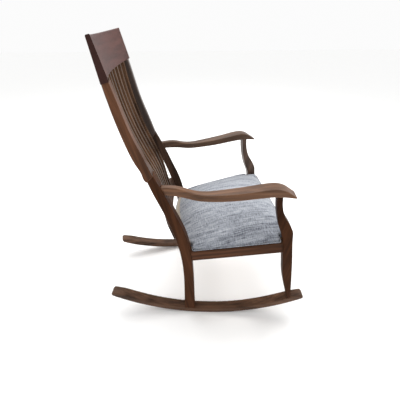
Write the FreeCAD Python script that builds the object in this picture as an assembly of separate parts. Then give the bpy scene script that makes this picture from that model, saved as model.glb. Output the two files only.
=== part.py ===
import FreeCAD, Part
import math
import os

os.makedirs("parts", exist_ok=True)
V = FreeCAD.Vector

# Millimetres, Z up, sitter's left is +X, the front faces -Y, floor at Z = 0.
# Each side frame is drawn flat in its own plane (x = 0 is its outer face, the
# chair lies towards -x, y to the back) and then turned to its toe-in.

# overall side frame
toe_in = 7.6            # degrees, side frames close towards the back
side_half = 252.8       # outer face of a side frame from the middle, at y = 0
leg_wide = 38.0         # across, both legs
leg_inset = 1.0         # leg face behind the rocker's outer side
rail_inset = 6.0        # side rail face behind the legs' outer plane
edge_round = 3.0
leg_round, arm_round, rail_round = 4.0, 5.0, 2.0
curve_close = 0.3      # free curves are drawn as arcs at most this far off
beyond = 1500.0         # cutting shapes reach at least this far

# rocker
rocker_radius_front, rocker_radius_back = 850.0, 905.0
top_radius_front, top_radius_back = 790.0, 838.0
rocker_mid_deep = 22.0
rocker_low_y = 6.0     # where the arc touches the floor
rocker_wide = 44.0
rocker_back, rocker_front = 414.0, 404.0    # reach from y = 0 along the side frame
nose_long, nose_drop = 62.0, 11.0           # the top rolls over towards each end
end_taper, taper_from, end_round = 6.0, 300.0, 14.0     # the inner side, seen from above

# back
joint_y, joint_z = 184.5, 676.0     # front end of the post joint
joint_run = 20.0                    # the joint falls as far as it runs back
post_out = 2.2                      # post's outer face outside the leg's, at the joint
splay = 6.2                         # degrees, posts open upwards
crest_over = 5.6                    # crest beyond the posts' outer faces
crest_bottom_z = 973.0
crest_front_y = 268.0
crest_tall = 112.0
crest_thick_low, crest_thick_top = 23.0, 12.0
crest_hollow = 34.0
crest_lean = 14.4
low_rail_z = 454.0
low_rail_front_y = 115.0
low_rail_tall = 62.0
low_rail_past = 18.6                # the rail's arc is drawn this far past its tenons
low_rail_thick = 24.0
low_rail_hollow = 30.0
low_rail_lean = 17.5
slat_count = 9
slat_wide = 15.0
slat_deep = 18.0
slat_pitch_low, slat_pitch_top = 33.0, 44.8
slat_tenon, slat_tenon_wide, slat_tenon_deep = 12.0, 10.0, 10.0
slat_line = [(430, 132), (490, 152), (560, 169.5), (680, 219), (800, 264), (900, 290), (990, 305)]  # z, y
post_tenon, post_tenon_wide, post_tenon_deep = 27.0, 18.0, 10.0
mortise_clear = 0.2

# arm
arm_outer, arm_inner = 14.0, -38.5
arm_rear_outer, arm_rear_inner = -8.0, -32.0

# seat frame
seat_rise = math.tan(math.radians(9.4))
seat_z_mid = 356.5      # rail top at y = 0
front_rail_v, rear_rail_v = -309.0, 76.0    # front faces, along the seat
side_rail_thick = 26.0
side_rail_deep_rear, side_rail_deep_front = 42.0, 48.0
cross_rail_thick = 24.0
rail_tenon = 14.0
tenon_thick = 12.0
tenon_shoulder = 9.0    # above and below a cross rail's tenon
side_rail_back, side_rail_front = 84.0, -296.0      # the rail is scribed to the legs inside these
side_tenon_back, side_tenon_front = 80.0, -291.0
block_down = 6.0        # blocks stay under the rail tops
block_leg = 62.0
block_thick = 22.0

# seat
board_thick = 9.0
soft_gap = 0.3
cover_thick = 2.0
cushion_crown = 82.0    # height in the middle
edge_tall = 16.0        # and at the edge
crown_v = -100.0
crown_power_x, crown_power_v = 2.3, 3.2
cushion_corner = 8.0
seat_back_v, seat_front_v = 86.0, -320.0
seat_bow = 30.0         # the back edge bows towards the back rail
rear_notch_v, front_notch_v = 57.0, -272.0
welt_d = 4.0
welt_to_rear_leg, welt_to_front_leg = 3.8, 0.2
cover_in_rear, cover_in_front = 10.2, 6.5   # cover behind the side rail's face at the notches

# fasteners
dowel_d, dowel_long = 8.0, 42.0
bolt_d, bolt_long = 6.0, 52.0
foot_screw_long, arm_screw_long = 62.0, 70.0
hole_clear = 0.25
screw_d, small_screw_d = 5.0, 4.0
screw_in = 44.0         # block screws from the side rail's inner face
plug_d, plug_deep = 12.0, 8.0


def pts(pairs, x=0.0):
    return [V(x, y, z) for y, z in pairs]


def spline(pairs, x=0.0):
    """Smooth curve through the points, made of tangent arcs."""
    curve = Part.BSplineCurve()
    curve.interpolate(pts(pairs, x))
    return Part.Wire([a.toShape() for a in curve.toBiArcs(curve_close)])


def line(a, b, x=0.0):
    return Part.makeLine(V(x, a[0], a[1]), V(x, b[0], b[1]))


def arc(a, b, c, x=0.0):
    return Part.Arc(*pts((a, b, c), x)).toShape()


def prism(edges, x0, x1):
    """Flat side profile at x = 0 made solid between x0 and x1."""
    face = Part.Face(Part.Wire(Part.__sortEdges__([e for part in edges for e in part.Edges])))
    face.translate(V(x0, 0, 0))
    return face.extrude(V(x1 - x0, 0, 0))


def box(x0, x1, y0, y1, z0, z1):
    return Part.makeBox(x1 - x0, y1 - y0, z1 - z0, V(x0, y0, z0))


def poly_prism(points, z0, z1):
    wire = Part.makePolygon([V(x, y, z0) for x, y in points + points[:1]])
    return Part.Face(wire).extrude(V(0, 0, z1 - z0))


def rod(d, long, at, along):
    return Part.makeCylinder(d / 2, long, at, along)


def side(shape):
    """Turn a flat side-frame piece to the left side of the chair."""
    s = shape.copy()
    s.rotate(V(0, 0, 0), V(0, 0, 1), toe_in)
    s.translate(V(side_half, 0, 0))
    return s


def mirrored(shape):
    return shape.mirror(V(0, 0, 0), V(1, 0, 0))


def rounded(shape, radius, keep):
    edges = [e for e in shape.Edges if keep(e)]
    return shape.makeFillet(radius, edges) if edges else shape


def side_x(depth, y):
    """Where the plane lying depth inside a side frame's outer face is, at y."""
    turn = math.radians(toe_in)
    return side_half - depth / math.cos(turn) - y * math.tan(turn)


def along(e):
    """Edges that lie in a flat piece's own plane."""
    return e.BoundBox.XLength < 0.01


def half_space(y, z, lean, up):
    """All that is above or under a plane through (y, z) that rises lean degrees to the front."""
    b = beyond
    room = box(-b, b, -b, b, 0, b) if up else box(-b, b, -b, b, -b, 0)
    room.rotate(V(0, 0, 0), V(1, 0, 0), -lean)
    room.translate(V(0, y, z))
    return room


parts = {}


def add(name, shape):
    parts[name] = shape


def add_pair(name, shape):
    add(name + "_left", shape)
    add(name + "_right", mirrored(shape))


# rocker: arcs that are tighter above than below, so the ends are deeper
def sag(radius, run):
    return radius - math.sqrt(radius * radius - run * run)


def low_radius(y):
    return rocker_radius_back if y > rocker_low_y else rocker_radius_front


def top_radius(y):
    return top_radius_back if y > rocker_low_y else top_radius_front


def low_at(y):
    return sag(low_radius(y), y - rocker_low_y)


def top_at(y):
    return rocker_mid_deep + sag(top_radius(y), y - rocker_low_y)


def run_slope(radius, y):
    return (y - rocker_low_y) / math.sqrt(radius ** 2 - (y - rocker_low_y) ** 2)


def half_arc(height, y):
    """Arc from the low point to y along one of the rocker's two faces."""
    mid = (rocker_low_y + y) / 2
    return arc((rocker_low_y, height(rocker_low_y)), (mid, height(mid)), (y, height(y)))


def nose(y_end, inward):
    """Rolled end: the top flattens, drops to a blunt tip and meets the lower arc, in one curve."""
    shoulder, crown, toe = (y_end + inward * run for run in (nose_long, nose_long * 0.34, 11))
    tip_z = low_at(y_end) + 6.5
    curve = Part.BSplineCurve()
    curve.interpolate(
        Points=pts([(shoulder, top_at(shoulder)), (crown, top_at(crown) - nose_drop * 0.55),
                    (y_end + inward * 6, tip_z + 8), (y_end, tip_z), (toe, low_at(toe))]),
        InitialTangent=V(0, -inward, -inward * run_slope(top_radius(y_end), shoulder)),
        FinalTangent=V(0, inward, inward * run_slope(low_radius(y_end), toe)))
    return shoulder, toe, curve.toShape()


back_shoulder, back_toe, back_nose = nose(rocker_back, -1)
front_shoulder, front_toe, front_nose = nose(-rocker_front, 1)
rocker = prism([
    half_arc(low_at, back_toe), half_arc(low_at, front_toe), back_nose,
    half_arc(top_at, back_shoulder), half_arc(top_at, front_shoulder), front_nose,
], 0, -rocker_wide)
rocker = rounded(rocker, edge_round, along)
rocker_plan = poly_prism([
    (1, rocker_back + 1), (1, -rocker_front - 1), (-rocker_wide + end_taper, -rocker_front - 1),
    (-rocker_wide - 1, -taper_from), (-rocker_wide - 1, taper_from),
    (-rocker_wide + end_taper, rocker_back + 1),
], -rocker_wide, 6 * rocker_wide)
rocker_plan = rounded(rocker_plan, end_round, lambda e: e.BoundBox.ZLength > 6 * rocker_wide
                      and abs(e.BoundBox.Center.y) > taper_from + 1 and e.BoundBox.Center.x < -end_taper)
rocker = rocker.common(rocker_plan)
far_y = max(rocker_back, rocker_front) + rocker_wide / 2
under_rocker_top = prism([
    half_arc(top_at, far_y), half_arc(top_at, -far_y),
    line((-far_y, top_at(-far_y)), (-far_y, -rocker_wide)),
    line((-far_y, -rocker_wide), (far_y, -rocker_wide)),
    line((far_y, -rocker_wide), (far_y, top_at(far_y))),
], rocker_wide, -3 * rocker_wide)

# arm profile, also the seat of the front leg's top
arm_top = [(168, 629), (150, 630.5), (121, 630.5), (100, 627.5), (78, 621), (50, 614), (20, 611),
           (-15, 612.5), (-55, 616.5), (-105, 623), (-152, 631), (-196, 639), (-222, 640.5),
           (-244, 637), (-262, 628), (-277, 618), (-289, 610.5)]
arm_low = [(-287, 608), (-262, 611), (-236, 613), (-203, 612), (-137, 603), (-85, 596),
           (-37, 591.5), (5, 589), (46, 590), (80, 596), (111, 600), (158, 603)]
arm_profile = [spline(arm_top), line(arm_top[-1], arm_low[0]), spline(arm_low),
               line(arm_low[-1], arm_top[0])]
arm = prism(arm_profile, leg_wide, -2 * leg_wide)
outer_run = [(190, arm_rear_outer), (140, arm_rear_outer + 1), (80, 0), (20, 8), (-60, arm_outer),
             (-180, arm_outer + 1), (-300, arm_outer - 1)]
inner_run = [(190, arm_rear_inner), (140, arm_rear_inner + 1), (80, -28), (20, -28), (-60, -33),
             (-150, arm_inner), (-300, arm_inner)]


def plan_curve(run):
    curve = Part.BSplineCurve()
    curve.interpolate([V(x, y, 0) for y, x in run])
    return curve.toShape()


def plan_end(a, b):
    return Part.makeLine(V(a[1], a[0], 0), V(b[1], b[0], 0))


plan = Part.Wire([plan_curve(outer_run), plan_end(outer_run[-1], inner_run[-1]),
                  plan_curve(inner_run[::-1]), plan_end(inner_run[0], outer_run[0])])
arm = arm.common(Part.Face(plan).extrude(V(0, 0, beyond)))
arm_end = min(z for y, z in arm_top) + arm_round
arm = rounded(arm, arm_round, lambda e: e.BoundBox.YLength > leg_wide and e.BoundBox.ZMax > arm_end)
(low_front_y, low_front_z), (low_back_y, low_back_z) = arm_low[0], arm_low[-1]
over_arm_low = prism([
    spline(arm_low), line(arm_low[-1], (low_back_y, beyond)),
    line((low_back_y, beyond), (low_front_y, beyond)), line((low_front_y, beyond), arm_low[0]),
], rocker_wide, -3 * rocker_wide)

# rear leg, foot to post joint
leg_front = [(55, 5), (57, 110), (58.5, 190), (62, 281), (71, 365), (89, 443), (113, 505),
             (151, 600), (186, 676), (193, 691)]
leg_back = [(216, 691), (209, 660), (190, 605), (152, 508), (127, 429),
            (109, 346), (99.5, 264), (97.5, 184), (98, 5)]
rear_leg = prism([
    spline(leg_front), line(leg_front[-1], leg_back[0]), spline(leg_back),
    line(leg_back[-1], leg_front[0]),
], -leg_inset, -leg_inset - leg_wide)
rear_leg = rounded(rear_leg, leg_round, along).cut(under_rocker_top)

# front leg with the arm support in one piece
knee = (-308, 437)
front_edge_high = [(-246, 622), (-249, 585), (-256, 549), (-267, 522), (-284, 495), (-298, 471),
                   (-306, 452), knee]
front_edge_low = [knee, (-313, 395), (-325, 318), (-336, 232), (-345, 160), (-352, 85)]
rear_edge = [(-341, 85), (-327, 136), (-311, 190), (-296.5, 249), (-288, 308), (-281, 358), (-275, 412),
             (-266, 443), (-254, 470), (-243, 505), (-234, 545), (-229, 585), (-226, 622)]
front_leg = prism([
    spline(front_edge_high + front_edge_low[1:]), line(front_edge_low[-1], rear_edge[0]),
    spline(rear_edge), line(rear_edge[-1], front_edge_high[0]),
], -leg_inset, -leg_inset - leg_wide)
front_leg = rounded(front_leg, leg_round, along).cut(under_rocker_top).cut(over_arm_low)

# joint between rear leg and post: a slanting face across the chair
above_joint = half_space(joint_y, joint_z, 45, True)

# back post, drawn straight up from the joint then opened by the splay
post_front = [(176, 654), (joint_y, joint_z), (210, 752), (232, 815), (254, 900), (272, 975)]
post_back = [(291, 975), (281, 905), (262, 815), (245, 752), (231, 714), (219, 684)]
heel = [(219, 684), (215.5, 667), (206, 652)]
post = prism([
    spline(post_front), line(post_front[-1], post_back[0]), spline(post_back + heel[1:]),
    line(heel[-1], post_front[0]),
], 0, -leg_wide)
post = rounded(post, leg_round, along)


def opened(shape):
    s = shape.copy()
    s.rotate(V(0, 0, joint_z - joint_run / 2), V(0, 1, 0), splay)
    s.translate(V(post_foot_half, 0, 0))
    return s


post_foot_half = side_x(leg_inset, joint_y + joint_run / 2) + post_out
crest_half = post_foot_half + crest_over + (
    (crest_bottom_z - joint_z + joint_run / 2) * math.tan(math.radians(splay)))
post = opened(post).common(above_joint)
rear_leg = side(rear_leg).cut(above_joint)
front_leg = side(front_leg)
rear_leg_solid, front_leg_solid = rear_leg, front_leg    # before any mortise
arm = side(arm).cut(rear_leg)
rocker = side(rocker)


# curved cross rail: a band hollowed to the front, leaning back as it rises
def curved_rail(half, tall, thick_low, thick_top, hollow, lean, y, z, round_edges=True):
    def band(h, thick):
        front = Part.Arc(V(-half, 0, h), V(0, hollow, h), V(half, 0, h)).toShape()
        back = Part.Arc(V(half, thick, h), V(0, hollow + thick, h), V(-half, thick, h)).toShape()
        return Part.Wire([front, Part.makeLine(V(half, 0, h), V(half, thick, h)), back,
                          Part.makeLine(V(-half, thick, h), V(-half, 0, h))])
    rail = Part.makeLoft([band(0, thick_low), band(tall, thick_top)], True, True)
    if round_edges:
        rail = rail.makeFillet(edge_round, [e for e in rail.Edges if e.BoundBox.XLength > half
                                            and e.BoundBox.ZMin > tall - 1])
    rail.rotate(V(0, 0, 0), V(1, 0, 0), -lean)
    rail.translate(V(0, y, z))
    return rail


crest = curved_rail(crest_half, crest_tall, crest_thick_low, crest_thick_top, crest_hollow,
                    crest_lean, crest_front_y, crest_bottom_z)


def trimmed(depth):
    """Room between two planes parallel to the side frames, depth inside their outer faces."""
    c, s = math.cos(math.radians(toe_in)), math.sin(math.radians(toe_in))

    def edge(y):
        return side_half - depth * c - y * s, y * c - depth * s
    (xf, yf), (xb, yb) = edge(-beyond), edge(beyond / 2)
    return poly_prism([(xf, yf), (xb, yb), (-xb, yb), (-xf, yf)], -beyond, beyond)


leg_face = leg_inset + leg_wide
clear_room = trimmed(leg_face)
tenon_room = trimmed(leg_face - rail_tenon)
mortise_room = trimmed(leg_face - rail_tenon - 0.5)


def tenoned(full, thin, grown, legs):
    """Rail trimmed to the legs with a thinner tenon running into each of them."""
    rail = full.common(clear_room).fuse(thin.common(tenon_room)).removeSplitter()
    slot = grown.common(mortise_room)
    return rail, [leg.cut(slot) for leg in legs]


# lower back rail
low_drop = low_rail_tall * math.cos(math.radians(low_rail_lean))
low_run = low_rail_tall * math.sin(math.radians(low_rail_lean))
low_at_y, low_at_z = low_rail_front_y - low_run, low_rail_z - low_drop
low_rail_half = side_x(leg_face - rail_tenon, low_rail_front_y) + low_rail_past
low_tenon_in = (low_rail_thick - tenon_thick) / 2


def low_rail_band(tall, thick, up, back, round_edges):
    lean = math.radians(low_rail_lean)
    return curved_rail(low_rail_half, tall, thick, thick, low_rail_hollow, low_rail_lean,
                       low_at_y + up * math.sin(lean) + back * math.cos(lean),
                       low_at_z + up * math.cos(lean) - back * math.sin(lean), round_edges)


low_rail, (rear_leg,) = tenoned(
    low_rail_band(low_rail_tall, low_rail_thick, 0, 0, False),
    low_rail_band(low_rail_tall - 2 * tenon_shoulder, tenon_thick, tenon_shoulder, low_tenon_in, False),
    low_rail_band(low_rail_tall - 2 * tenon_shoulder + 2 * mortise_clear, tenon_thick + 2 * mortise_clear,
                  tenon_shoulder - mortise_clear, low_tenon_in - mortise_clear, False), [rear_leg])

# seat frame, drawn level with the rail tops at z = 0 and then tipped up to the front
seat_tilt = math.degrees(math.atan(seat_rise))


def seat(shape):
    s = shape.copy()
    s.rotate(V(0, 0, 0), V(1, 0, 0), -seat_tilt)
    s.translate(V(0, 0, seat_z_mid))
    return s


def cross_rail(v0, deep, leg):
    v1 = v0 + cross_rail_thick
    inner = (cross_rail_thick - tenon_thick) / 2
    g = mortise_clear
    return tenoned(
        seat(rounded(box(-beyond, beyond, v0, v1, -deep, 0), rail_round, lambda e: e.Length > beyond)),
        seat(box(-beyond, beyond, v0 + inner, v1 - inner, -deep + tenon_shoulder, -tenon_shoulder)),
        seat(box(-beyond, beyond, v0 + inner - g, v1 - inner + g,
                 -deep + tenon_shoulder - g, -tenon_shoulder + g)), [leg])


front_rail, (front_leg,) = cross_rail(front_rail_v, side_rail_deep_front, front_leg)
rear_rail, (rear_leg,) = cross_rail(rear_rail_v, side_rail_deep_rear, rear_leg)


def seat_line(y, drop=0.0):
    return seat_z_mid - seat_rise * y * math.cos(math.radians(toe_in)) - drop


def rail_flat(y_back, y_front, trim, x0, x1, g=0.0, corner=0.0):
    deep_back = side_rail_deep_rear - trim + g
    deep_front = side_rail_deep_front - trim + g
    corners = [(y_back, seat_line(y_back, trim - g)), (y_front, seat_line(y_front, trim - g)),
               (y_front, seat_line(y_front, deep_front)), (y_back, seat_line(y_back, deep_back))]
    flat = prism([line(p, q) for p, q in zip(corners, corners[1:] + corners[:1])], x0, x1)
    return side(rounded(flat, corner, lambda e: e.BoundBox.YLength > leg_wide) if corner else flat)


x_out, x_in = -rail_inset, -rail_inset - side_rail_thick
x_ten = -rail_inset - (side_rail_thick - tenon_thick) / 2
side_rail = rail_flat(side_rail_back, side_rail_front, 0, x_out, x_in, corner=rail_round)
side_rail = side_rail.cut(rear_leg_solid).cut(front_leg_solid)
side_tenon = rail_flat(side_tenon_back, side_tenon_front, tenon_shoulder, x_ten, x_ten - tenon_thick)
side_rail = side_rail.fuse(side_tenon).removeSplitter()
slot = rail_flat(side_tenon_back + 0.5, side_tenon_front - 0.5, tenon_shoulder,
                 x_ten + mortise_clear, x_ten - tenon_thick - mortise_clear, mortise_clear)
rear_leg, front_leg = rear_leg.cut(slot), front_leg.cut(slot)

# posts and slats meet the crest with a shoulder and a tenon
below_crest = half_space(crest_front_y, crest_bottom_z, crest_lean, False)
above_low_rail = half_space(low_rail_front_y, low_rail_z, low_rail_lean, True)


def hollow_at(hollow, half, x):
    return hollow * (1 - (x / half) ** 2)


def post_peg(g):
    """Tenon on the post's head, in the middle of the crest's thickness, grown by g."""
    x = crest_half - crest_over - leg_wide / 2
    y = crest_front_y + hollow_at(crest_hollow, crest_half, x) + (crest_thick_low - post_tenon_deep) / 2
    peg = box(x - post_tenon_wide / 2 - g, x + post_tenon_wide / 2 + g, -g, post_tenon_deep + g,
              -post_tenon_wide, post_tenon + g)
    peg.rotate(V(0, 0, 0), V(1, 0, 0), -crest_lean)
    peg.translate(V(0, y, crest_bottom_z))
    return peg


post = post.common(below_crest).fuse(post_peg(0)).removeSplitter()
crest = crest.cut(post_peg(mortise_clear)).cut(mirrored(post_peg(mortise_clear)))


# slats: bent strips fanning from the lower rail to the crest, flush with their hollow fronts
def slat(i, wide, front, back):
    x_low, x_top = i * slat_pitch_low, i * slat_pitch_top
    fan = math.atan((x_top - x_low) / (crest_bottom_z - low_rail_z))
    back_low = hollow_at(low_rail_hollow, low_rail_half, x_low)
    back_top = hollow_at(crest_hollow, crest_half, x_top)
    middle_low = hollow_at(low_rail_hollow, low_rail_half, 0)
    middle_top = hollow_at(crest_hollow, crest_half, 0)
    turn = math.degrees(math.atan(2 * low_rail_hollow * x_low / low_rail_half ** 2))

    def path(off):
        run = []
        for z, y in slat_line:
            t = (z - low_rail_z) / (crest_bottom_z - low_rail_z)
            drop = (back_low - middle_low) + (back_top - middle_top - back_low + middle_low) * t
            run.append((y + off + drop, low_rail_z + (z - low_rail_z) / math.cos(fan)))
        return run
    f, b = path(front), path(back)
    body = prism([spline(f), line(f[-1], b[-1]), spline(b[::-1]), line(b[0], f[0])], -wide / 2, wide / 2)
    pivot = V(0, (f[0][0] + b[0][0]) / 2, low_rail_z)
    body.rotate(pivot, V(0, 0, 1), -turn)
    body.rotate(pivot, V(0, 1, 0), math.degrees(fan))
    body.translate(V(x_low, 0, 0))
    return body


def slat_peg(i, g):
    """The slat's thinner core, running into the crest and the rail, grown by g."""
    inset = (slat_deep - slat_tenon_deep) / 2
    core = slat(i, slat_tenon_wide + 2 * g, inset - g, slat_deep - inset + g)
    long = slat_tenon + g
    core = core.common(half_space(crest_front_y, crest_bottom_z + long, crest_lean, False))
    return core.common(half_space(low_rail_front_y, low_rail_z - long, low_rail_lean, True))


middle = slat_count // 2
for i in range(-middle, middle + 1):
    body = slat(i, slat_wide, 0, slat_deep).common(below_crest).common(above_low_rail)
    add("back_slat_%d" % (i + middle + 1), body.fuse(slat_peg(i, 0)).removeSplitter())
    crest = crest.cut(slat_peg(i, mortise_clear))
    low_rail = low_rail.cut(slat_peg(i, mortise_clear))

# corner blocks inside the seat frame
block_room = seat(box(-beyond, beyond, -beyond, beyond, -block_down - block_thick, -block_down))
rail_room = trimmed(rail_inset + side_rail_thick)


def corner_block(v, inward):
    v_end = v + inward * block_leg
    block = rail_room.common(block_room).common(
        seat(box(0, beyond, min(v, v_end), max(v, v_end), -beyond, 0)))
    x_side = side_x(rail_inset + side_rail_thick, v)
    off = poly_prism([(x_side + 30, v_end + inward * 20), (x_side - block_leg - 30, v - inward * 10),
                      (-beyond, v - inward * 10), (-beyond, v + inward * beyond),
                      (x_side + 30, v + inward * beyond)], -beyond, beyond)
    return block.cut(seat(off))


block_front = corner_block(front_rail_v + cross_rail_thick, 1).cut(front_leg_solid)
block_rear = corner_block(rear_rail_v, -1).cut(rear_leg_solid)


# upholstered seat: board, foam and cover share one outline and one crown
level = math.cos(math.radians(seat_tilt))       # from along the seat to along the floor
welt_out = soft_gap + welt_d
rear_half = side_x(leg_face, seat_back_v * level) - welt_to_rear_leg - welt_out
front_leg_y = rear_edge[6][0]
front_half = side_x(leg_face, front_leg_y - 3) - welt_to_front_leg - welt_out
side_rear_half = side_x(rail_inset, rear_notch_v * level) - cover_in_rear
side_front_half = side_x(rail_inset, front_notch_v * level) - cover_in_front


def half_wide(v):
    run = (rear_notch_v - v) / (rear_notch_v - front_notch_v)
    return side_rear_half + (side_front_half - side_rear_half) * run


def back_reach(x):
    return seat_back_v + seat_bow * (1 - (x / rear_half) ** 2)


def outline(g, z0, z1, corner=0.0):
    """Plan of the seat grown by g: notched round the legs, bowed at the back."""
    right = [(rear_half + g, seat_back_v + g), (rear_half + g, rear_notch_v + g),
             (side_rear_half + g, rear_notch_v + g), (side_front_half + g, front_notch_v - g),
             (front_half + g, front_notch_v - g), (front_half - 2 + g, seat_front_v - g)]
    ring = right + [(-x, y) for x, y in right[::-1]]
    edges = [Part.makeLine(V(*p, z0), V(*q, z0)) for p, q in zip(ring, ring[1:])]
    edges.append(Part.Arc(V(*ring[-1], z0), V(0, seat_back_v + seat_bow + g, z0), V(*ring[0], z0)).toShape())
    body = Part.Face(Part.Wire(edges)).extrude(V(0, 0, z1 - z0))
    return rounded(body, corner, lambda e: e.BoundBox.ZLength > z1 - z0 - 0.1) if corner else body


def crown_at(x, v):
    """Height of the cushion: a thin edge all round, rising fast and then levelling."""
    mid = crown_v
    reach = back_reach(min(abs(x), rear_half)) - mid if v > mid else mid - seat_front_v
    across = 1 - abs(x / half_wide(v)) ** crown_power_x
    along = 1 - abs((v - mid) / reach) ** crown_power_v
    return edge_tall + (cushion_crown - edge_tall) * across * (along if along > 0 or across > 0 else 0)


def pad(inset, low):
    edge = side_front_half * 1.1
    xs = [-edge + edge * i / 10 for i in range(21)]
    vs = [seat_front_v - 25 + (seat_back_v + seat_bow - seat_front_v + 50) * j / 22 for j in range(23)]
    top = Part.BSplineSurface()
    top.interpolate([[V(x, v, crown_at(x, v) - inset) for v in vs] for x in xs])
    under = top.toShape().extrude(V(0, 0, -3 * cushion_crown))
    return outline(-inset, low, 2 * cushion_crown, cushion_corner - inset).common(under)


cover = pad(0, soft_gap).cut(pad(cover_thick, -5))
board = outline(-cover_thick - soft_gap, 0, board_thick, cushion_corner - cover_thick - soft_gap)
foam = pad(cover_thick + soft_gap, board_thick + soft_gap)
welt = outline(soft_gap + welt_d, soft_gap, soft_gap + welt_d, cushion_corner).cut(
    outline(soft_gap, -1, 20, cushion_corner))

# fasteners: each is cut from what it passes through with a small clearance
pieces = {"rocker": rocker, "rear_leg": rear_leg, "front_leg": front_leg, "armrest": arm,
          "back_post": post, "side_rail": side_rail, "block_front": block_front,
          "block_rear": block_rear, "front_rail": front_rail, "rear_rail": rear_rail,
          "seat_board": seat(board)}


def fasten(name, rods, into):
    """rods are (diameter, length, start, direction) on the left side; both sides are made."""
    made = []
    for d, long, at, along in rods:
        made.append(rod(d, long, at, along))
        grown = rod(d + 2 * hole_clear, long + 2 * hole_clear, at - along * hole_clear, along)
        for key in into:
            pieces[key] = pieces[key].cut(grown)
            if key in ("front_rail", "rear_rail", "seat_board"):
                pieces[key] = pieces[key].cut(mirrored(grown))
    both = made + [mirrored(m) for m in made]
    add(name, Part.makeCompound(both))


def at_side(x, y, z):
    c, s = math.cos(math.radians(toe_in)), math.sin(math.radians(toe_in))
    return V(side_half + x * c - y * s, y * c + x * s, z)


def unit(x, y, z):
    n = math.sqrt(x * x + y * y + z * z)
    return V(x / n, y / n, z / n)


up_post = unit(0, 0.36, 0.93)
post_mid = post_foot_half - leg_wide / 2
joint_mid = V(post_mid, joint_y + joint_run / 2, joint_z - joint_run / 2)
fasten("joint_dowels", [(dowel_d, dowel_long, joint_mid + V(dx, 0, 0) - up_post * (dowel_long / 2), up_post)
                        for dx in (-11.5, 11.5)], ["rear_leg", "back_post"])
into_leg = unit(0, -1, -1)
bolt_head = joint_mid - into_leg * (bolt_long * 0.5)
fasten("joint_bolts", [(bolt_d, bolt_long * 0.78, bolt_head, into_leg)], ["rear_leg", "back_post"])
pieces["back_post"] = pieces["back_post"].cut(rod(plug_d + 0.3, 60, bolt_head - into_leg * 60, into_leg))

foot_rods, plug_rods = [], []
for y, lean, leg_x in ((76.5, 0.0, -20.0), (-343.0, 0.14, -20.0)):
    for dx in (-9.5, 9.5):
        along = unit(0, lean, 1)
        start = at_side(leg_x + dx, y, low_at(y))
        foot_rods.append((screw_d, foot_screw_long, start + along * (plug_deep + 0.5), along))
        plug_rods.append((plug_d - 2, plug_deep, start, along))
fasten("rocker_screws", foot_rods, ["rocker", "rear_leg", "front_leg"])
plugs = []
for d, long, at, along in plug_rods:
    well = rod(d + 0.3, long + 20.4, at - along * 20, along)
    plugs.append(rod(d, long + 20, at - along * 20, along).common(pieces["rocker"]))
    pieces["rocker"] = pieces["rocker"].cut(well)
add("rocker_plugs", Part.makeCompound(plugs + [mirrored(p) for p in plugs]))

fasten("arm_dowels", [(dowel_d, 34, at_side(x, -236.5, 595), unit(0, 0, 1)) for x in (-12, -28)],
       ["front_leg", "armrest"])
to_back = unit(-math.sin(math.radians(toe_in)), 1, 0)
arm_screw_head = at_side(-leg_inset - leg_wide / 2, 186, 617)
fasten("arm_screws", [(screw_d, arm_screw_long, arm_screw_head, to_back * -1)], ["rear_leg", "armrest"])
arm_plug_room = rod(plug_d, 40, arm_screw_head + to_back, to_back)
arm_plug = rod(plug_d - 0.3, 40, arm_screw_head + to_back, to_back)
arm_plug = arm_plug.common(pieces["rear_leg"])
pieces["rear_leg"] = pieces["rear_leg"].cut(arm_plug_room)
add("arm_screw_plugs", Part.makeCompound([arm_plug, mirrored(arm_plug)]))

seat_up = unit(0, math.sin(math.radians(seat_tilt)), math.cos(math.radians(seat_tilt)))


def in_seat(x, v, h):
    t = math.radians(seat_tilt)
    return V(x, v * math.cos(t) + h * math.sin(t), seat_z_mid - v * math.sin(t) + h * math.cos(t))


fv, rv = front_rail_v + cross_rail_thick, rear_rail_v
screw_back = 24.0       # from the cross rail to the screws up into the board
into_board = block_thick + block_down + board_thick - 2


def block_x(v, more=0.0):
    return side_x(rail_inset + side_rail_thick, v * level) - screw_in - more


fasten("seat_screws", [(small_screw_d, into_board, in_seat(block_x(v), v, -block_down - block_thick), seat_up)
                       for v in (fv + screw_back, rv - screw_back)],
       ["block_front", "block_rear", "seat_board"])
t = math.radians(seat_tilt)
to_front = V(0, -math.cos(t), math.sin(t))
mid_block = -block_down - block_thick / 2
fasten("block_screws", [(small_screw_d, screw_back + 14, in_seat(block_x(v, 8), v, mid_block), to_front * way)
                        for v, way in ((fv + screw_back, 1), (rv - screw_back, -1))],
       ["block_front", "block_rear", "front_rail", "rear_rail"])

for name in ("rocker", "rear_leg", "front_leg", "armrest", "back_post", "side_rail"):
    add_pair(name, pieces[name])
add_pair("corner_block_front", pieces["block_front"])
add_pair("corner_block_rear", pieces["block_rear"])
add("crest_rail", crest)
add("lower_back_rail", low_rail)
add("front_rail", pieces["front_rail"])
add("rear_rail", pieces["rear_rail"])
add("seat_board", pieces["seat_board"])
add("seat_foam", seat(foam))
add("seat_cover", seat(cover))
add("seat_welt", seat(welt))

for name, shape in parts.items():
    shape.exportStep("parts/" + name + ".step")
    print(name, shape.isValid(), len(shape.Solids), round(shape.Volume / 1000, 1))
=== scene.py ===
import math

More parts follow.
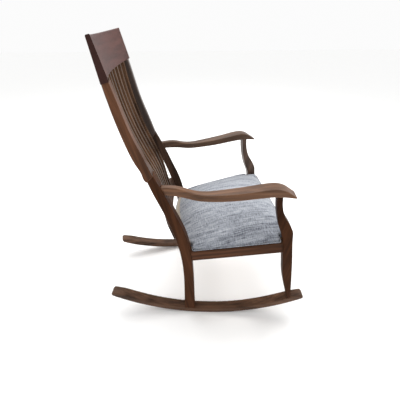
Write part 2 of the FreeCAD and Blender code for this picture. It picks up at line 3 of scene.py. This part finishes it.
import bpy
import numpy as np
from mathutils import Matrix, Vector


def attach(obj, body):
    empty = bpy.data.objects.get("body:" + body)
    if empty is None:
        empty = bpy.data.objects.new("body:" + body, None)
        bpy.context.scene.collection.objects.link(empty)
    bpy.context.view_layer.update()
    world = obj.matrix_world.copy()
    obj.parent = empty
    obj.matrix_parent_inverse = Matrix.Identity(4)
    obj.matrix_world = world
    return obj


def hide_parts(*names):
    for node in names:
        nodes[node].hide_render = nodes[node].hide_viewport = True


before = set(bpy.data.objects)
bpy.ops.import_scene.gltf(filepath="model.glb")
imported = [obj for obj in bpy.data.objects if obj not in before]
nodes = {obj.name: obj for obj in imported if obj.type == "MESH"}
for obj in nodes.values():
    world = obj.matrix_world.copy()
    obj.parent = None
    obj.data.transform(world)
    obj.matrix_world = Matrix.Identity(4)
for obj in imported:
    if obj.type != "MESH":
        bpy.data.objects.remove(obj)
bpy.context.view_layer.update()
print("frame loaded:", len(nodes), "CAD nodes")


# A Link stands for a node's output and can be used in sums; each sum adds Math nodes.
class Link:
    def __init__(self, finish, socket):
        self.finish, self.socket = finish, socket

    def sum(self, operation, first, second=None):
        values = {0: first} if second is None else {0: first, 1: second}
        return self.finish.node("ShaderNodeMath", {"operation": operation}, values)

    def __add__(self, other): return self.sum("ADD", self, other)
    def __radd__(self, other): return self.sum("ADD", other, self)
    def __sub__(self, other): return self.sum("SUBTRACT", self, other)
    def __rsub__(self, other): return self.sum("SUBTRACT", other, self)
    def __mul__(self, other): return self.sum("MULTIPLY", self, other)
    def __rmul__(self, other): return self.sum("MULTIPLY", other, self)

    def sine(self): return self.sum("SINE", self)


# One material: its nodes, its one shader and short calls for what the finishes share.
class Finish:
    def __init__(self, name, uniform):
        self.material = bpy.data.materials.new(name)
        self.material.use_nodes = True
        self.tree = self.material.node_tree
        self.shader = self.tree.nodes["Principled BSDF"]
        self.wire(uniform)

    # kind of node, its settings (set first), then the values or links of its sockets
    def node(self, kind, settings=None, inputs=None, out=0):
        made = self.tree.nodes.new(kind)
        for key, value in (settings or {}).items():
            if key == "stops":
                ramp = made.color_ramp.elements
                while len(ramp) < len(value):
                    ramp.new(1.0)
                for stop, (at, colour) in zip(ramp, value):
                    stop.position, stop.color = at, (*colour, 1)
            else:
                setattr(made, key, value)
        for key, value in (inputs or {}).items():
            self.feed(made.inputs[key], value)
        return Link(self, made.outputs[out])

    def feed(self, socket, value):
        if isinstance(value, Link):
            self.tree.links.new(value.socket, socket)
        elif isinstance(value, (tuple, list, Vector)) and len(value) == 3 and socket.type == "RGBA":
            socket.default_value = (*value, 1)
        else:
            socket.default_value = value

    # sockets 6 and 7 of a Mix node are its two colours, and 2 is the colour it gives
    def mix(self, factor, low, high, blend="MIX"):
        settings = {"data_type": "RGBA", "blend_type": blend, "clamp_factor": True}
        return self.node("ShaderNodeMix", settings, {"Factor": factor, 6: low, 7: high}, out=2)

    def ramp(self, value, *stops):
        colours = [(at, level if isinstance(level, tuple) else (level,) * 3) for at, level in stops]
        return self.node("ShaderNodeValToRGB", {"stops": colours}, {"Fac": value})

    def stretched(self, vector, scale):
        return self.node("ShaderNodeVectorMath", {"operation": "MULTIPLY"}, {0: vector, 1: scale})

    def split(self, vector):
        parts = self.node("ShaderNodeSeparateXYZ", {}, {0: vector})
        return [Link(self, output) for output in parts.socket.node.outputs]

    def dot(self, first, second):
        settings = {"operation": "DOT_PRODUCT"}
        return self.node("ShaderNodeVectorMath", settings, {0: first, 1: second}, out=1)

    def place(self):
        return self.node("ShaderNodeTexCoord", out=3)      # Object coordinates

    def noise(self, vector, scale, detail=2.0, rough=0.5):
        inputs = {"Vector": vector, "Scale": scale, "Detail": detail, "Roughness": rough}
        return self.node("ShaderNodeTexNoise", {}, inputs)

    def bump(self, height, strength, distance, under=None):
        inputs = {"Height": height, "Strength": strength, "Distance": distance}
        if under is not None:
            inputs["Normal"] = under
        return self.node("ShaderNodeBump", {}, inputs)

    def wire(self, sockets):
        for socket, value in sockets.items():
            self.feed(self.shader.inputs[socket], value)
        return self.material


def paint(obj, material):
    obj.data.materials.clear()
    obj.data.materials.append(material)


walnutLook = {
    "darker": 0.34, "lighter": 1.85,      # of each piece's own middle colour
    # the pale colour of the painted highlight along eased edges
    "paintedEdgeHighlight": (0.36, 0.20, 0.12),
    "ringStep": 0.011,                    # metres between growth rings
    "lacquer": 0.02,
    "shine": 0.20,
    "roughness": 0.30,
}
beechLook = {
    "darker": 0.70, "lighter": 1.25,
    # the pale colour of the painted highlight along eased edges
    "paintedEdgeHighlight": (0.60, 0.42, 0.26),
    "ringStep": 0.0060,
    "lacquer": 0.0,
    "shine": 0.35,
    "roughness": 0.60,
}
beechMiddle = (0.44, 0.28, 0.155)
plywoodMiddle = (0.36, 0.23, 0.13)
plugMiddle = (0.050, 0.024, 0.013)

# Sizes of the noises, how far each is drawn out along the grain, and its part in the tone.
woodFigure = {
    "wander": 6.0, "wanderRun": 0.12, "bend": 0.02,
    "figure": 52.0, "figureRun": 0.05, "figurePart": 0.95,
    "cloudy": 11.0, "cloudyRun": 0.3, "cloudyPart": 0.45,
    "fibres": 800.0, "fibresRun": 0.02, "fibresPart": 0.24,
    "pores": 2000.0, "poresRun": 0.03, "poresPart": 0.45,
    "ringsPart": 0.06,
    "mean": 0.85, "middle": 0.51,         # the mean of the summed parts, and its place in the ramp
    "reliefHeight": 0.0003,
}


# Growth rings are bands across the grain, bent by slow noise; fibres and pores are fine noise
# drawn out along the grain; a painted highlight lightens the edges where the rounded normal leaves the
# true one.
def timber(name, look, middle, grain, seed, paintedEdgeHighlight=0.1, contrast=1.0, rounding=0.0028, shine=None):
    f = woodFigure
    dark = tuple(c * look["darker"] for c in middle)
    light = tuple(c * look["lighter"] for c in middle)
    wood = Finish(name, {"Coat Weight": look["lacquer"], "Coat Roughness": 0.25, "IOR": 1.5,
                         "Specular IOR Level": shine or look["shine"]})
    place = wood.place()
    turn = Vector(grain).rotation_difference(Vector((0, 0, 1))).to_euler()
    shift = (0.37 * seed, 0.23 * seed, 0.61 * seed)
    p = wood.node("ShaderNodeMapping", {}, {"Vector": place, "Rotation": turn, "Location": shift})
    x, y, z = wood.split(p)
    slow = wood.noise(wood.stretched(p, (1, 1, f["wanderRun"])), f["wander"], 2.0)
    across = x * 0.8 + y * 0.6 + slow * f["bend"]
    rings = (across * (2 * math.pi / look["ringStep"])).sine() * 0.5 + 0.5
    figure = wood.noise(wood.stretched(p, (1, 1, f["figureRun"])), f["figure"], 3.0, 0.6)
    cloudy = wood.noise(wood.stretched(p, (1, 1, f["cloudyRun"])), f["cloudy"], 2.0, 0.5)
    fibres = wood.noise(wood.stretched(p, (1, 1, f["fibresRun"])), f["fibres"], 3.0, 0.6)
    specks = wood.noise(wood.stretched(p, (1, 1, f["poresRun"])), f["pores"], 1.0)
    pores = wood.ramp(specks, (0.60, 0.0), (0.74, 1.0))
    tone = figure * f["figurePart"] + cloudy * f["cloudyPart"] + rings * f["ringsPart"]
    tone = tone + fibres * f["fibresPart"]
    depth = (tone - f["mean"]) * contrast + f["middle"]
    colour = wood.ramp(depth, (0.28, dark), (f["middle"], middle), (0.76, light))
    colour = wood.mix(pores * f["poresPart"], colour, dark)
    eased = wood.node("ShaderNodeBevel", {"samples": 6}, {"Radius": rounding})
    flat = wood.node("ShaderNodeNewGeometry", out=1)
    # painted highlight: eased edges, where the rounded normal leaves the true one, are lightened towards
    # a pale colour
    edge = wood.ramp(1.0 - wood.dot(eased, flat), (0.02, 0.0), (0.24, 1.0))
    colour = wood.mix(edge * (fibres * 0.8 + 0.35) * paintedEdgeHighlight, colour, look["paintedEdgeHighlight"])
    ends = wood.dot(flat, Vector(grain).normalized())
    endGrain = wood.ramp(ends * ends, (0.70, 0.0), (0.92, 0.75))
    colour = wood.mix(endGrain, colour, tuple(c * 1.2 for c in dark))
    bump = wood.bump(fibres * 0.5 - pores * 0.8, 0.2, f["reliefHeight"], eased)
    roughness = fibres * 0.14 + look["roughness"] + cloudy * 0.08
    return wood.wire({"Base Color": colour, "Roughness": roughness, "Normal": bump})


# Each family of pieces: its grain on the sitter's left side, its middle colour, how strong the
# painted highlight on its edges is, the contrast of its figure, how wide its edges are eased, and its
# shine. A piece takes the first family that its name begins with, so one side's row comes first.
woods = {
    "rocker": ((-0.13, 1, 0), (0.086, 0.045, 0.027), 0.55, 0.85, 0.006, 0.12),
    # painted shade: the left arm is a darker copy of the armrest colour
    "armrest_left": ((-0.13, 1, -0.04), (0.076, 0.041, 0.024), 0.7, 0.8, 0.006, 0.20),
    "armrest": ((-0.13, 1, -0.04), (0.110, 0.052, 0.026), 0.9, 0.9, 0.006, 0.20),
    # painted sheen: the left front leg is a paler, greyer copy of the front leg colour
    "front_leg_left": ((0, -0.2, 1), (0.070, 0.040, 0.028), 0.4, 0.85, 0.005, 0.20),
    "front_leg": ((0, -0.2, 1), (0.048, 0.0175, 0.0070), 0.4, 0.85, 0.005, 0.03),
    # painted shade and sheen: the left rear leg is a darker, greyer copy of the rear leg colour
    "rear_leg_left": ((0, 0.2, 1), (0.043, 0.0225, 0.0140), 0.4, 0.9, 0.005, 0.10),
    "rear_leg": ((0, 0.2, 1), (0.048, 0.0185, 0.0080), 0.4, 0.85, 0.005, 0.03),
    # painted sheen: the left back post is a greyer copy of the back post colour, standing in for a grey
    # reflection
    "back_post_left": ((0.1, 0.27, 1), (0.067, 0.046, 0.038), 0.4, 0.9, 0.005, 0.32),
    "back_post": ((0.1, 0.27, 1), (0.098, 0.041, 0.020), 0.4, 0.9, 0.005, 0.08),
    "back_slat": ((0, 0.26, 1), (0.080, 0.042, 0.023), 0.1, 1.1, 0.0025, 0.10),
    "crest_rail": ((1, 0, 0), (0.068, 0.026, 0.021), 0.4, 0.5, 0.003, 0.10),
    "lower_back_rail": ((1, 0, 0), (0.066, 0.037, 0.025), 0.3, 1.0, 0.003, 0.10),
    "front_rail": ((1, 0, 0), (0.060, 0.027, 0.014), 0.4, 1.1, 0.003, 0.08),
    "rear_rail": ((1, 0, 0), (0.060, 0.027, 0.014), 0.4, 1.1, 0.003, 0.08),
    "side_rail": ((-0.13, 1, -0.16), (0.060, 0.025, 0.0125), 0.4, 1.1, 0.003, 0.05),
}
hidden = ("plug", "screw", "dowel", "bolt")
for seed, (nodeName, node) in enumerate(sorted(nodes.items())):
    family = next((key for key in woods if nodeName.startswith(key)), None)
    if family and not any(word in nodeName for word in hidden):
        grain, middle, *finish = woods[family]
        side = -1 if nodeName.endswith("_right") else 1
        along = (side * grain[0], *grain[1:])
        paint(node, timber("walnut_" + nodeName, walnutLook, middle, along, seed, *finish))
    elif nodeName.startswith("corner_block"):
        paint(node, timber("beech_" + nodeName, beechLook, beechMiddle, (1, 0, 0), seed))
paint(nodes["seat_board"], timber("plywood_seat_board", beechLook, plywoodMiddle, (0, 1, -0.16), 5))
for nodeName in ("joint_dowels", "arm_dowels"):
    paint(nodes[nodeName], timber("dowel_" + nodeName, beechLook, beechMiddle, (0, 0.3, 1), 7))
for nodeName in ("rocker_plugs", "arm_screw_plugs"):
    paint(nodes[nodeName], timber("plug_" + nodeName, walnutLook, plugMiddle, (0.2, 1, 0.1), 31))
for nodeName in ("joint_bolts", "arm_screws", "block_screws", "rocker_screws", "seat_screws"):
    steel = Finish("steel_" + nodeName, {"Metallic": 1.0})
    brushed = steel.noise(steel.place(), 900.0, 2.0)
    paint(nodes[nodeName], steel.wire({"Base Color": steel.ramp(brushed, (0.3, 0.42), (0.7, 0.62)),
                                       "Roughness": brushed * 0.2 + 0.28}))
print("wood and steel painted")


seat = {
    "tilt": math.radians(9.4),
    "level": 0.3565,              # height of the rail tops where the seat crosses y = 0
    "rearHalf": 0.1940, "rearNotch": 0.057, "rearSide": 0.2290,
    "frontSide": 0.2760, "frontNotch": -0.272, "frontHalf": 0.2460,
    "back": 0.086, "front": -0.320, "bow": 0.030,
    "middle": -0.100, "edgeTall": 0.016, "crown": 0.082,
    "powerAcross": 2.3, "powerAlong": 3.2, "corner": 0.008,
}


# Place of a seat point: across, along the tilted seat to the back, and square up from it.
def onSeat(x, v, h):
    c, s = math.cos(seat["tilt"]), math.sin(seat["tilt"])
    return np.stack([x, v * c + h * s, seat["level"] - v * s + h * c], axis=-1)


def toSeat(points):
    c, s = math.cos(seat["tilt"]), math.sin(seat["tilt"])
    y, z = points[:, 1], points[:, 2] - seat["level"]
    return points[:, 0], y * c - z * s, y * s + z * c


def halfWide(v):
    run = (seat["rearNotch"] - v) / (seat["rearNotch"] - seat["frontNotch"])
    return seat["rearSide"] + (seat["frontSide"] - seat["rearSide"]) * run


# Height of the cushion: a thin edge, plus a dome that is one less the powers of how far
# out the point is, across and along.
def crownAt(x, v, crown=None):
    mid = seat["middle"]
    backReach = seat["back"] + seat["bow"] * (1 - np.clip(np.abs(x) / seat["rearHalf"], 0, 1) ** 2) - mid
    reach = np.where(v > mid, backReach, mid - seat["front"])
    across = np.clip(1 - np.abs(x / halfWide(v)) ** seat["powerAcross"], 0, 1)
    along = np.clip(1 - np.abs((v - mid) / reach) ** seat["powerAlong"], 0, 1)
    return seat["edgeTall"] + ((crown or seat["crown"]) - seat["edgeTall"]) * across * along


# Plan of the seat grown by g, as evenly spaced points: straight runs notched round the
# legs, an arc across the back, and each corner rounded by cutting it with a circle.
def seatPlan(g, corner, count):
    s = seat
    right = [(s["rearHalf"] + g, s["back"] + g), (s["rearHalf"] + g, s["rearNotch"] + g),
             (s["rearSide"] + g, s["rearNotch"] + g), (s["frontSide"] + g, s["frontNotch"] - g),
             (s["frontHalf"] + g, s["frontNotch"] - g), (s["frontHalf"] - 0.002 + g, s["front"] - g)]
    sweep = np.linspace(-1, 1, 33)[1:-1]
    bow = [(x * (s["rearHalf"] + g), s["back"] + g + s["bow"] * (1 - x * x)) for x in sweep]
    ring = np.array(right + [(-x, v) for x, v in right[::-1]] + bow)
    before, after = np.roll(ring, 1, 0) - ring, np.roll(ring, -1, 0) - ring
    a = before / np.linalg.norm(before, axis=1)[:, None]
    b = after / np.linalg.norm(after, axis=1)[:, None]
    half = np.arccos(np.clip((a * b).sum(1), -1, 1)) / 2
    cut = corner / np.tan(half)
    path = []
    for k in range(len(ring)):
        if half[k] > 1.45:
            path.append(ring[k:k + 1])
            continue
        t = np.linspace(0, 1, 9)[:, None]
        start, end = ring[k] + a[k] * cut[k], ring[k] + b[k] * cut[k]
        path.append((1 - t) ** 2 * start + 2 * t * (1 - t) * ring[k] + t ** 2 * end)
    path = np.concatenate(path)
    path = np.concatenate([path, path[:1]])
    run = np.concatenate([[0], np.cumsum(np.linalg.norm(np.diff(path, axis=0), axis=1))])
    even = np.linspace(0, run[-1], count, endpoint=False)
    return np.stack([np.interp(even, run, path[:, 0]), np.interp(even, run, path[:, 1])], axis=-1)


# Quads between neighbouring rows of a grid whose columns close on themselves.
def closedQuads(rows, columns):
    index = np.arange(rows * columns).reshape(rows, columns)
    beside = np.roll(index, -1, axis=1)
    return np.stack([index[:-1], beside[:-1], beside[1:], index[1:]], axis=-1).reshape(-1, 4)


def newPiece(name, points, faces):
    mesh = bpy.data.meshes.new(name)
    mesh.from_pydata(points.tolist(), [], faces)
    mesh.validate()
    mesh.polygons.foreach_set("use_smooth", np.ones(len(mesh.polygons), bool))
    piece = bpy.data.objects.new(name, mesh)
    bpy.context.scene.collection.objects.link(piece)
    return piece


def pointsOf(mesh):
    flat = np.empty(len(mesh.vertices) * 3)
    mesh.vertices.foreach_get("co", flat)
    return flat.reshape(-1, 3)


def normalsOf(mesh):
    flat = np.empty(len(mesh.vertices) * 3)
    mesh.vertices.foreach_get("normal", flat)
    return flat.reshape(-1, 3)


def setPoints(mesh, points):
    mesh.vertices.foreach_set("co", points.reshape(-1))
    mesh.update()


def applyModifiers(piece):
    baked = bpy.data.meshes.new_from_object(piece.evaluated_get(bpy.context.evaluated_depsgraph_get()))
    piece.modifiers.clear()
    old, piece.data = piece.data, baked
    bpy.data.meshes.remove(old)


cushionLook = {
    "inset": 0.0012, "lowered": 0.0035,   # starts this much smaller and lower, then swells
    "around": 360, "topSteps": 40, "wallSteps": 5,
    "voxel": 0.0055,
    "sunk": 0.006,            # the foot is drawn this far into the rails, then pressed up
    "pressure": 4.0, "frames": 20, "quality": 6, "mass": 0.25, "stiffness": 12, "bending": 1.2,
    "mostMove": 0.0055,
    "heldBelow": 0.004,       # stapled to the board under this height
    "footBelow": 0.010, "footHigh": 0.0004,   # the foot is pressed up between these heights
    "pucker": 0.0007, "puckerStep": 0.034, "puckerHigh": 0.010, "puckerReach": 0.02,
    "overBoard": 0.0006,      # the foot of the wall stands this far inside the plan
    "footPushed": 0.004,      # and is pushed out to it by no more than this
    "liningBand": 0.024, "liningBlend": 0.003,
    "seamWide": 0.0022, "seamDeep": 0.0012,
}


# The plan ring drawn in towards the middle in steps; the top steps stand at the crown's
# height, the wall steps climb to the edge, and the bottom steps lie flat on the board.
def cushionForm():
    look = cushionLook
    ring = seatPlan(-look["inset"], seat["corner"], look["around"])
    middle = np.array([0.0, seat["middle"]])
    inward = np.sin(np.linspace(0.02, 1, look["topSteps"]) * math.pi / 2)[:, None, None]
    top = middle + (ring - middle)[None] * inward
    topHigh = crownAt(top[..., 0], top[..., 1], seat["crown"] - look["lowered"])
    climb = np.linspace(0.1, 0.85, look["wallSteps"])[:, None]
    wallHigh = -look["sunk"] + climb * (topHigh[-1][None] + look["sunk"])
    wall = np.repeat(ring[None], look["wallSteps"], axis=0)
    plan = np.concatenate([top[::4], wall, top[::-1]])
    high = np.concatenate([np.full(topHigh[::4].shape, -look["sunk"]), wallHigh, topHigh[::-1]])
    points = onSeat(plan[..., 0], plan[..., 1], high).reshape(-1, 3)
    rows, columns = high.shape
    faces = closedQuads(rows, columns)[:, ::-1].tolist()
    caps = [list(range(columns)), list(range((rows - 1) * columns, rows * columns))[::-1]]
    return points, faces + caps


# The pad is blown up a little by Blender's Cloth with its foot held, and no point moves
# further than the cap from where it was drawn.
def swell(piece):
    look, mesh = cushionLook, piece.data
    start = pointsOf(mesh)
    high = toSeat(start)[2]
    held = piece.vertex_groups.new(name="held")
    held.add(np.nonzero(high < look["heldBelow"])[0].tolist(), 1.0, "REPLACE")
    cloth = piece.modifiers.new("cloth", "CLOTH")
    settings = cloth.settings
    settings.quality = look["quality"]
    settings.mass = look["mass"]
    settings.tension_stiffness = settings.compression_stiffness = look["stiffness"]
    settings.bending_stiffness = look["bending"]
    settings.use_pressure = True
    settings.uniform_pressure_force = look["pressure"]
    settings.vertex_group_mass = "held"
    settings.effector_weights.gravity = 0
    cloth.point_cache.frame_start, cloth.point_cache.frame_end = 1, look["frames"]
    for step in range(1, look["frames"] + 1):
        bpy.context.scene.frame_set(step)
    applyModifiers(piece)
    bpy.context.scene.frame_set(1)
    piece.vertex_groups.clear()
    moved = pointsOf(piece.data) - start
    far = np.linalg.norm(moved, axis=1)[:, None]
    setPoints(piece.data, start + moved * np.minimum(1, look["mostMove"] / np.maximum(far, 1e-9)))
    print("cushion swelled, most", round(float(far.max()) * 1000, 1), "mm before the cap")


# How far a point is inside the plan ring: the distance to the nearest ring point.
def fromEdge(x, v, ring):
    least = np.full(x.shape, 1.0)
    for part in np.array_split(np.arange(len(x)), 40):
        away = np.hypot(x[part, None] - ring[None, :, 0], v[part, None] - ring[None, :, 1])
        least[part] = away.min(1)
    return least


# Cloth lengths across and along: the run of the dome's middle profile out to the point, so
# that threads stay straight in plan, plus the drop down the wall in the wall's direction.
def clothRun(x, v, h, normal):
    # profiles 1 mm apart that reach past every edge
    xs, vs = np.linspace(-0.30, 0.30, 601), np.linspace(-0.35, 0.15, 501)
    across = np.cumsum(np.hypot(np.gradient(crownAt(xs, seat["middle"] + 0 * xs)), xs[1] - xs[0]))
    along = np.cumsum(np.hypot(np.gradient(crownAt(0 * vs, vs)), vs[1] - vs[0]))
    drop = np.clip(crownAt(x, v) - h, 0, 0.03) * np.clip(1 - np.abs(normal[:, 2]), 0, 1)
    flat = np.maximum(np.hypot(normal[:, 0], normal[:, 1]), 1e-6)
    return (np.interp(x, xs, across - across[len(xs) // 2]) + drop * normal[:, 0] / flat,
            np.interp(v, vs, along - along[len(vs) // 2]) + drop * normal[:, 1] / flat)


cushion = newPiece("seatCushion", *cushionForm())
remesh = cushion.modifiers.new("voxels", "REMESH")
remesh.mode = "VOXEL"
remesh.voxel_size = cushionLook["voxel"]
applyModifiers(cushion)
print("cushion drawn:", len(cushion.data.vertices), "points")
swell(cushion)


# Finishing after the swelling: small puckers where the cover is pulled over the board's
# edge, a seam line between the cloth and the rear lining, and the lengths for the weave.
def finishCushion(piece):
    look, mesh = cushionLook, piece.data
    x, v, h = toSeat(pointsOf(mesh))
    sunk, level, least = look["sunk"], look["footBelow"], look["footHigh"]
    h = np.where(h < level, least + (h + sunk) * (level - least) / (level + sunk), h)
    h = np.maximum(h, least)
    ring = seatPlan(0, seat["corner"], 720)
    edge = fromEdge(x, v, ring)
    turn = np.arctan2(v - seat["middle"], x)
    c, s = math.cos(seat["tilt"]), math.sin(seat["tilt"])
    normal = normalsOf(mesh)
    outX, outV = normal[:, 0], normal[:, 1] * c - normal[:, 2] * s
    flat = np.maximum(np.hypot(outX, outV), 1e-6)
    low = np.clip((0.016 - h) / 0.010, 0, 1)       # 1 at the foot, 0 from 16 mm up
    foot = low * np.clip(edge - look["overBoard"], 0, look["footPushed"]) * (flat > 0.5)
    x, v = x + outX / flat * foot, v + outV / flat * foot
    points = onSeat(x, v, h)
    setPoints(mesh, points)
    normal = normalsOf(mesh)

    ringTurn = np.arctan2(ring[:, 1] - seat["middle"], ring[:, 0])
    order = np.argsort(ringTurn)
    gap = np.linalg.norm(np.diff(ring, axis=0), axis=1).mean()
    length = np.interp(turn, ringTurn[order], np.arange(len(ring)) * gap)
    wave = np.sin(length * 2 * math.pi / look["puckerStep"] + 1.3 * np.sin(length * 17))
    fade = np.exp(-((h - look["puckerHigh"]) / look["puckerHigh"]) ** 2)
    fade = fade * np.exp(-(edge / look["puckerReach"]) ** 2)
    bow = seat["bow"] * (1 - np.clip(np.abs(x) / seat["rearHalf"], 0, 1) ** 2)
    fromBack = seat["back"] + bow - v
    seam = np.exp(-((fromBack - look["liningBand"]) / look["seamWide"]) ** 2)
    seam = seam * (np.abs(x) < seat["rearHalf"]) * (h > look["heldBelow"])
    shift = look["pucker"] * wave * fade - look["seamDeep"] * seam
    setPoints(mesh, points + normal * shift[:, None])

    inSeat = [normal[:, 0], normal[:, 1] * c - normal[:, 2] * s, normal[:, 1] * s + normal[:, 2] * c]
    across, along = clothRun(x, v, h, np.stack(inSeat, -1))
    lining = np.clip((look["liningBand"] - fromBack) / look["liningBlend"] + 0.5, 0, 1)
    lining = lining * (np.abs(x) < seat["rearHalf"] + 0.004)
    run = mesh.attributes.new("clothRun", "FLOAT_VECTOR", "POINT")
    run.data.foreach_set("vector", np.stack([across, along, lining], -1).reshape(-1))
    smooth = piece.modifiers.new("smooth", "SUBSURF")
    smooth.levels = smooth.render_levels = 1


finishCushion(cushion)
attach(cushion, "root")
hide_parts("seat_cover", "seat_foam")
print("cushion finished")

piping = {"radius": 0.0020, "grow": 0.0023, "high": 0.0023, "along": 720, "round": 12}


# A round cord of cloth carried along the plan ring: the ring point plus the radius times
# the cosine outwards and the sine upwards.
def pipingForm():
    ring = seatPlan(piping["grow"], seat["corner"], piping["along"])
    ahead = np.roll(ring, -1, 0) - np.roll(ring, 1, 0)
    ahead /= np.linalg.norm(ahead, axis=1)[:, None]
    out = np.stack([ahead[:, 1], -ahead[:, 0]], -1)
    turn = np.linspace(0, 2 * math.pi, piping["round"], endpoint=False)[None]
    wide, tall = piping["radius"] * np.cos(turn), piping["radius"] * np.sin(turn)
    plan = ring[:, None] + out[:, None] * wide[..., None]
    points = onSeat(plan[..., 0], plan[..., 1], np.broadcast_to(piping["high"] + tall, plan.shape[:2]))
    index = np.arange(plan.shape[0] * plan.shape[1]).reshape(plan.shape[:2])
    nextRow, nextRound = np.roll(index, -1, 0), np.roll(index, -1, 1)
    faces = np.stack([index, nextRow, np.roll(nextRow, -1, 1), nextRound], -1).reshape(-1, 4)
    return points.reshape(-1, 3), faces.tolist()


welt = newPiece("seatPiping", *pipingForm())
weltRing = seatPlan(piping["grow"], seat["corner"], piping["along"])
gap = np.linalg.norm(np.diff(weltRing, axis=0), axis=1).mean()
girth = 2 * math.pi * piping["radius"]
run = welt.data.attributes.new("clothRun", "FLOAT_VECTOR", "POINT")
steps = np.repeat(np.arange(piping["along"]) * gap, piping["round"])
rounds = np.tile(np.arange(piping["round"]) * girth / piping["round"], piping["along"])
run.data.foreach_set("vector", np.stack([rounds + steps, steps - rounds, steps * 0], -1).reshape(-1))
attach(welt, "root")
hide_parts("seat_welt")
print("piping laid round the seat")

fabricLook = {
    "pale": (0.52, 0.54, 0.58),
    "grey": (0.29, 0.31, 0.345),
    "slub": (0.075, 0.080, 0.100),
    "lining": (0.44, 0.37, 0.285),
    "thread": 0.0024,             # metres from one thread to the next
    "warpRun": 0.05, "weftRun": 0.10,     # how slowly a thread's tone changes along it
    "slubs": 150.0, "slubRun": 0.05, "slubPart": 0.36,
    "broad": 36.0, "broadRun": 0.10, "broadPart": 0.26,
    # painted shade: how much darker the cloth is painted towards the seat's sides
    "sideShadePainted": 0.055,
    "between": 0.16,              # how dark the gaps between threads are
    "reliefHeight": 0.0006,
}


# Tweed: every warp and weft thread has its own tone that changes along it; at each crossing
# the one on top shows, and slubs are darker runs of a few threads from front to back. The
# cloth is painted a little darker towards the seat's sides, as shade on the sloping sides.
def tweed(name, brighter=1.0):
    look = fabricLook
    cloth = Finish(name, {"Sheen Weight": 0.2, "Sheen Roughness": 0.5, "Specular IOR Level": 0.12})
    run = cloth.node("ShaderNodeAttribute", {"attribute_name": "clothRun"}, out=1)
    across, along, lining = cloth.split(run)
    flat = cloth.stretched(run, (1, 1, 0))
    threads = 1 / look["thread"]
    warp = cloth.noise(cloth.stretched(flat, (1, look["warpRun"], 0)), threads, 2.0, 0.6)
    weft = cloth.noise(cloth.stretched(flat, (look["weftRun"], 1, 0)), threads, 2.0, 0.6)
    slub = cloth.noise(cloth.stretched(flat, (1, look["slubRun"], 0)), look["slubs"], 3.0, 0.6)
    broad = cloth.noise(cloth.stretched(flat, (1, look["broadRun"], 0)), look["broad"], 2.0, 0.5)
    turn = math.pi * threads
    over = (across * turn).sine() * (along * turn).sine() * 0.5 + 0.5
    tone = warp * (1 - over) + weft * over
    tone = tone + slub * look["slubPart"] + broad * look["broadPart"] - 0.32
    # painted shade on the sloping sides: the tone falls towards the seat's sides
    paintedSideShade = cloth.ramp(across * across, (0.024, 0.0), (0.062, 1.0))
    tone = tone - paintedSideShade * look["sideShadePainted"]
    colour = cloth.ramp(tone, (0.32, look["slub"]), (0.46, look["grey"]), (0.66, look["pale"]))
    between = (across * turn * 2 + 1.57).sine() * 0.5 + (along * turn * 2 + 1.57).sine() * 0.5
    colour = cloth.mix(between * look["between"] + look["between"], colour, look["slub"])
    plain = cloth.mix(over * 0.4, look["lining"], tuple(0.75 * c for c in look["lining"]))
    colour = cloth.mix(lining, colour, plain)
    if brighter != 1.0:
        colour = cloth.mix(1.0, colour, (brighter,) * 3, "MULTIPLY")
    relief = over * 0.4 - between * 0.4 + warp * 0.5 + slub * 0.4
    bump = cloth.bump(relief, 0.5, look["reliefHeight"])
    return cloth.wire({"Base Color": colour, "Roughness": 0.80 + warp * 0.15, "Normal": bump})


paint(cushion, tweed("tweedCloth"))
paint(welt, tweed("tweedPiping", 1.1))
print("cloth woven")

view = {"place": (-1.0757, 0.120, 1.1115), "turn": 0.106, "dip": 0.5596, "lens": 26.1, "farthest": 60}
camera = bpy.data.objects.new("camera", bpy.data.cameras.new("camera"))
bpy.context.scene.collection.objects.link(camera)
camera.data.lens = view["lens"]
camera.data.clip_end = view["farthest"]
camera.location = view["place"]
look = Vector((math.cos(view["dip"]) * math.cos(view["turn"]),
               -math.cos(view["dip"]) * math.sin(view["turn"]), -math.sin(view["dip"])))
camera.rotation_mode = "QUATERNION"
camera.rotation_quaternion = look.to_track_quat("-Z", "Y")
bpy.context.scene.camera = camera

# Each softbox: its place, what it is aimed at, its side in metres and its power in watts.
studio = {
    "sky": 0.97, "floor": (0.99, 0.99, 0.985), "floorDim": (0.9, 0.9, 0.9), "floorSize": 24,
    "keyLight": ((0.8, -1.9, 2.4), (0, 0, 0.4), 1.2, 32),
    "topLight": ((1.1, 0.3, 2.7), (0, 0, 0.4), 2.0, 46),
    "rearLight": ((1.0, 2.2, 1.9), (0, 0, 0.5), 1.6, 8),
}
bpy.context.scene.view_settings.view_transform = "Standard"
bpy.ops.mesh.primitive_plane_add(size=studio["floorSize"])
floor = bpy.context.object
floor.name = "floor"
matt = Finish("paleFloor", {"Specular IOR Level": 0.1})
grit = matt.noise(matt.place(), 3.0, 2.0)
paint(floor, matt.wire({"Base Color": matt.mix(grit * 0.03, studio["floor"], studio["floorDim"]),
                        "Roughness": grit * 0.1 + 0.85}))

world = bpy.data.worlds.new("studio")
bpy.context.scene.world = world
world.use_nodes = True
sky = world.node_tree.nodes["Background"]
sky.inputs["Color"].default_value = (1, 1, 1, 1)
sky.inputs["Strength"].default_value = studio["sky"]


def softbox(name):
    place, aim, size, power = studio[name]
    lamp = bpy.data.objects.new(name, bpy.data.lights.new(name, "AREA"))
    bpy.context.scene.collection.objects.link(lamp)
    lamp.data.size, lamp.data.energy = size, power
    lamp.location = place
    lamp.rotation_mode = "QUATERNION"
    lamp.rotation_quaternion = (Vector(aim) - Vector(place)).to_track_quat("-Z", "Y")


for lightName in ("keyLight", "topLight", "rearLight"):
    softbox(lightName)
print("camera and lights set")
